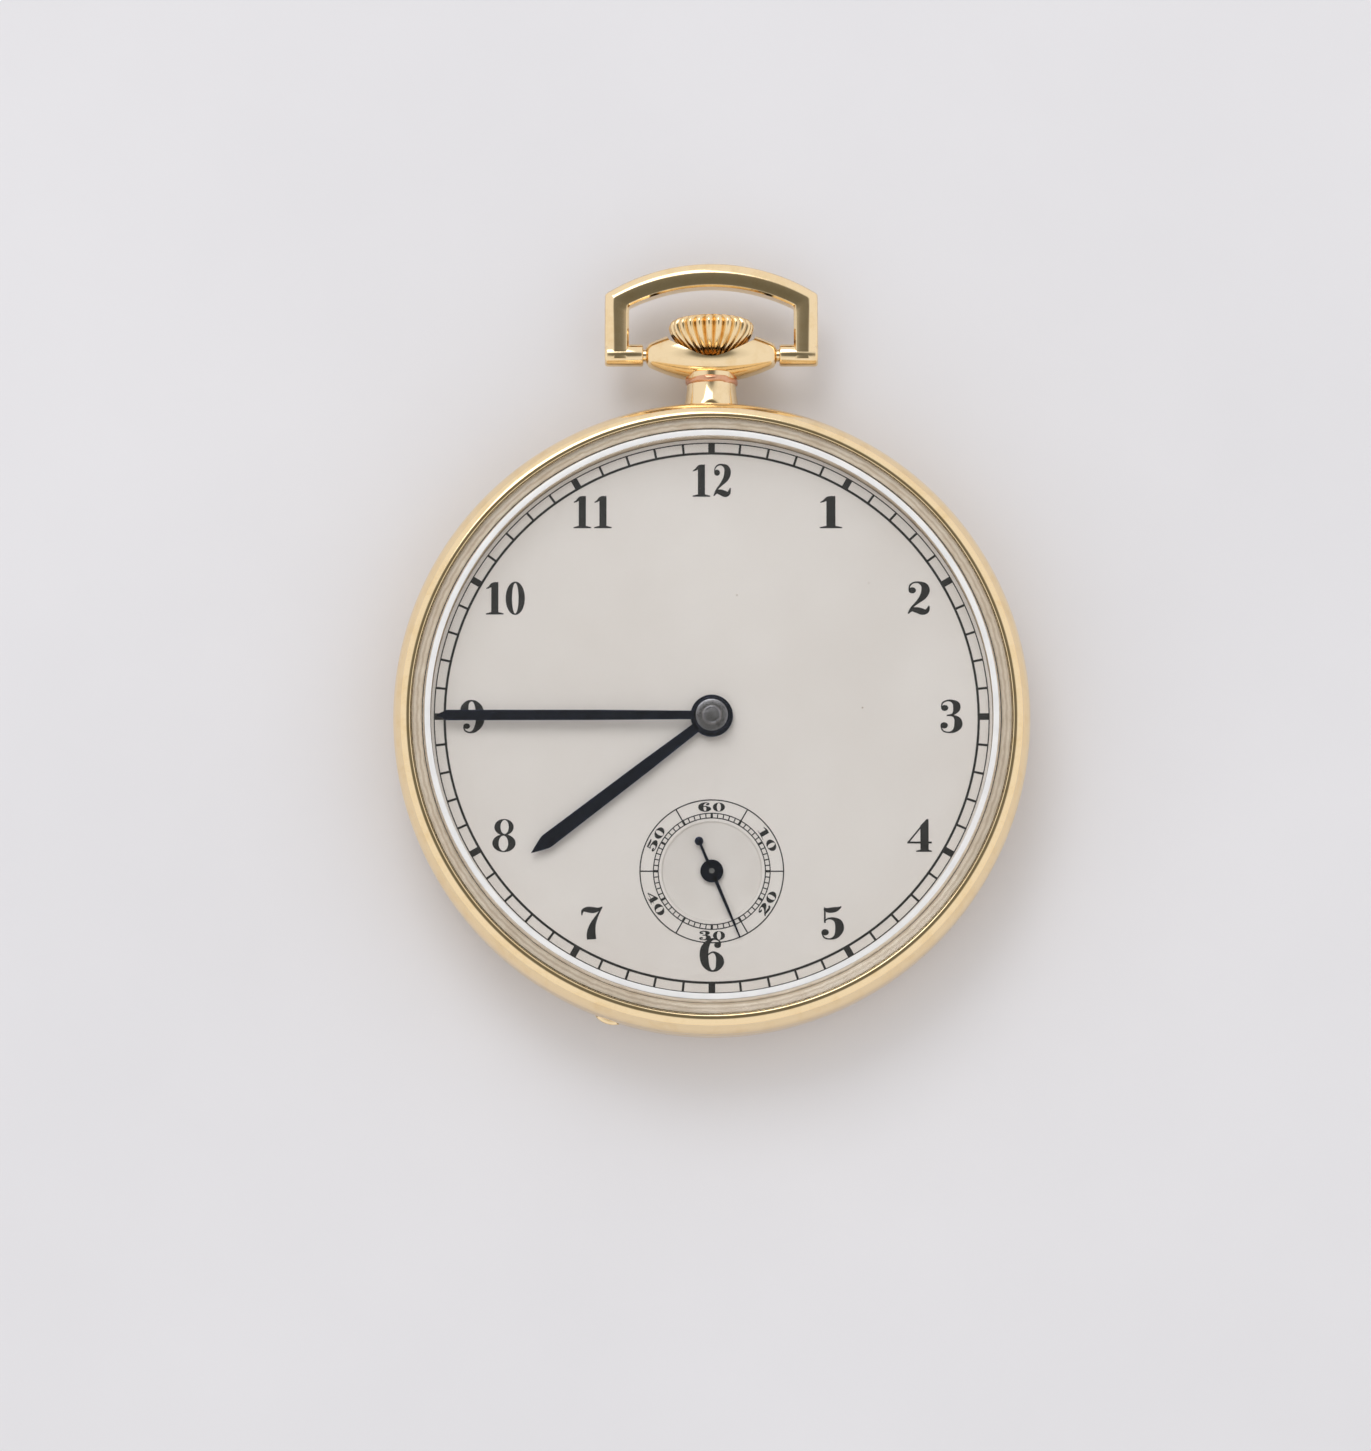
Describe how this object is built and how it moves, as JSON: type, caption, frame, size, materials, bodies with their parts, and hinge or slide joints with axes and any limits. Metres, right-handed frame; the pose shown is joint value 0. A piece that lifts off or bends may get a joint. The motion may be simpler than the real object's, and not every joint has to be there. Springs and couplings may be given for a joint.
{
  "type": "open face pocket watch",
  "caption": "Open-face pocket watch: polished gold-coloured case, fluted crown, stirrup bow, silvery dial, blued hands, small seconds at six, over a geared hand-wound movement.",
  "frame": {"origin": "on the centre axis of the case, in the plane of the flat case back that it rests on", "axes": "+Z out of the dial, +Y towards 12 o'clock and the bow, +X towards 3 o'clock"},
  "size_m": [0.045, 0.0555, 0.008],
  "materials": {
    "case_gold": "polished",
    "crown_gold": "polished",
    "crystal": "clear",
    "dial_silver": "satin",
    "polished_steel": "polished",
    "gilt_brass": "satin",
    "nickel_plate": "satin",
    "blued_steel": "polished",
    "ruby": "gloss",
    "spring_steel": "satin"
  },
  "bodies": {
    "case": {"case_middle": "case_gold", "pendant": "case_gold", "bow_pins": "case_gold", "main_plate": "nickel_plate", "barrel_bridge": "nickel_plate", "train_bridge": "nickel_plate", "balance_cock": "nickel_plate", "pallet_cock": "nickel_plate", "bridge_screws": "polished_steel", "case_screws": "polished_steel", "jewels": "ruby", "small_screws": "polished_steel", "motion_studs": "polished_steel", "crown_wheel_core": "polished_steel", "click_spring": "polished_steel", "yoke_spring": "polished_steel", "hairspring": "blued_steel", "dial": "dial_silver", "dial_washer": "gilt_brass"},
    "back": {"back_cover": "case_gold"},
    "front": {"bezel": "case_gold", "crystal": "crystal"},
    "bow": {"bow": "case_gold"},
    "winding_pinion": {"winding_pinion": "polished_steel"},
    "stem": {"stem": "polished_steel", "crown": "crown_gold"},
    "sliding_pinion": {"sliding_pinion": "polished_steel"},
    "setting_lever": {"setting_lever": "polished_steel"},
    "yoke": {"yoke": "polished_steel"},
    "crown_wheel": {"crown_wheel": "polished_steel"},
    "ratchet": {"ratchet_wheel": "polished_steel", "ratchet_screw": "polished_steel", "barrel_arbor": "polished_steel"},
    "click": {"click": "polished_steel"},
    "barrel": {"barrel": "gilt_brass", "barrel_cover": "gilt_brass", "mainspring": "spring_steel"},
    "centre": {"centre_wheel": "gilt_brass", "centre_arbor": "polished_steel", "cannon_pinion": "polished_steel", "minute_hand": "blued_steel", "minute_collet": "polished_steel"},
    "third": {"third_wheel": "gilt_brass", "third_pinion": "polished_steel"},
    "fourth": {"fourth_wheel": "gilt_brass", "fourth_pinion": "polished_steel", "seconds_hand": "blued_steel"},
    "escape": {"escape_wheel": "polished_steel", "escape_pinion": "polished_steel"},
    "pallets": {"pallet_fork": "polished_steel", "pallet_stones": "ruby"},
    "balance": {"balance_wheel": "gilt_brass", "balance_screws": "gilt_brass", "balance_staff": "polished_steel", "impulse_jewel": "ruby"},
    "minute_wheel": {"minute_wheel": "gilt_brass"},
    "hour": {"hour_wheel": "gilt_brass", "hour_hand": "blued_steel"},
    "setting_wheel": {"setting_wheel": "polished_steel"}
  },
  "joints": [
    {"name": "bow_swing", "type": "hinge", "parent": "case", "child": "bow", "pos_m": [0, 0.0264, 0.0034], "axis": [1, 0, 0], "range_deg": [-115, 115]},
    {"name": "back_lift", "type": "slide", "parent": "case", "child": "back", "axis": [0, 0, -1], "range_m": [0, 0.006]},
    {"name": "bezel_lift", "type": "slide", "parent": "case", "child": "front", "axis": [0, 0, 1], "range_m": [0, 0.006]},
    {"name": "crown_turn", "type": "hinge", "parent": "case", "child": "winding_pinion", "pos_m": [0, 0.014, 0.0034], "axis": [0, 1, 0], "continuous": true},
    {"name": "crown_pull", "type": "slide", "parent": "winding_pinion", "child": "stem", "axis": [0, 1, 0], "range_m": [0, 0.0009]},
    {"name": "clutch_slide", "type": "slide", "parent": "winding_pinion", "child": "sliding_pinion", "axis": [0, 1, 0], "range_m": [-0.0009, 0]},
    {"name": "lever_turn", "type": "hinge", "parent": "case", "child": "setting_lever", "pos_m": [0.0029, 0.0162, 0.0046], "axis": [0, 0, 1], "range_deg": [-17.5, 0]},
    {"name": "yoke_turn", "type": "hinge", "parent": "case", "child": "yoke", "pos_m": [-0.0042, 0.01075, 0.0046], "axis": [0, 0, 1], "range_deg": [-12.23, 0]},
    {"name": "crown_wheel_turn", "type": "hinge", "parent": "case", "child": "crown_wheel", "pos_m": [0, 0.01022, 0.001], "axis": [0, 0, 1], "continuous": true},
    {"name": "ratchet_turn", "type": "hinge", "parent": "case", "child": "ratchet", "pos_m": [0.00816, 0.0038, 0.001], "axis": [0, 0, 1], "continuous": true},
    {"name": "click_rock", "type": "hinge", "parent": "case", "child": "click", "pos_m": [0.01472, -0.00132, 0.001], "axis": [0, 0, 1], "range_deg": [0, 8], "stiffness_Nm_per_rad": 0.000001},
    {"name": "minute_turn", "type": "hinge", "parent": "case", "child": "centre", "pos_m": [0, 0, 0.003], "axis": [0, 0, -1], "continuous": true},
    {"name": "barrel_turn", "type": "hinge", "parent": "case", "child": "barrel", "pos_m": [0.00816, 0.0038, 0.003], "axis": [0, 0, -1], "continuous": true},
    {"name": "third_turn", "type": "hinge", "parent": "case", "child": "third", "pos_m": [0.00117, -0.00601, 0.002], "axis": [0, 0, -1], "continuous": true},
    {"name": "seconds_turn", "type": "hinge", "parent": "case", "child": "fourth", "pos_m": [0, -0.01097, 0.0024], "axis": [0, 0, -1], "continuous": true},
    {"name": "escape_turn", "type": "hinge", "parent": "case", "child": "escape", "pos_m": [-0.00449, -0.00989, 0.0029], "axis": [0, 0, -1], "continuous": true},
    {"name": "pallet_rock", "type": "hinge", "parent": "case", "child": "pallets", "pos_m": [-0.00717, -0.00787, 0.0029], "axis": [0, 0, 1], "range_deg": [-5, 5]},
    {"name": "balance_swing", "type": "hinge", "parent": "case", "child": "balance", "pos_m": [-0.01088, -0.00507, 0.002], "axis": [0, 0, 1], "range_deg": [-270, 270], "stiffness_Nm_per_rad": 0.00000067},
    {"name": "minute_wheel_turn", "type": "hinge", "parent": "case", "child": "minute_wheel", "pos_m": [-0.0016, 0.00322, 0.0046], "axis": [0, 0, -1], "continuous": true},
    {"name": "hour_turn", "type": "hinge", "parent": "case", "child": "hour", "pos_m": [0, 0, 0.005], "axis": [0, 0, -1], "continuous": true},
    {"name": "setting_wheel_turn", "type": "hinge", "parent": "case", "child": "setting_wheel", "pos_m": [0, 0.00695, 0.0046], "axis": [0, 0, -1], "continuous": true}
  ],
  "couplings": [
    {"joint": "clutch_slide", "follows": "crown_pull", "ratio": -1},
    {"joint": "lever_turn", "follows": "crown_pull", "rad_per_m": -339.44},
    {"joint": "yoke_turn", "follows": "crown_pull", "rad_per_m": -237.19},
    {"joint": "crown_wheel_turn", "follows": "crown_turn", "ratio": 0.375},
    {"joint": "ratchet_turn", "follows": "crown_turn", "ratio": -0.23529},
    {"joint": "barrel_turn", "follows": "minute_turn", "ratio": -0.125},
    {"joint": "third_turn", "follows": "minute_turn", "ratio": -8},
    {"joint": "seconds_turn", "follows": "minute_turn", "ratio": 60},
    {"joint": "escape_turn", "follows": "minute_turn", "ratio": -600},
    {"joint": "minute_wheel_turn", "follows": "minute_turn", "ratio": -0.33333},
    {"joint": "hour_turn", "follows": "minute_turn", "ratio": 0.083333},
    {"joint": "setting_wheel_turn", "follows": "minute_turn", "ratio": 0.66667}
  ]
}
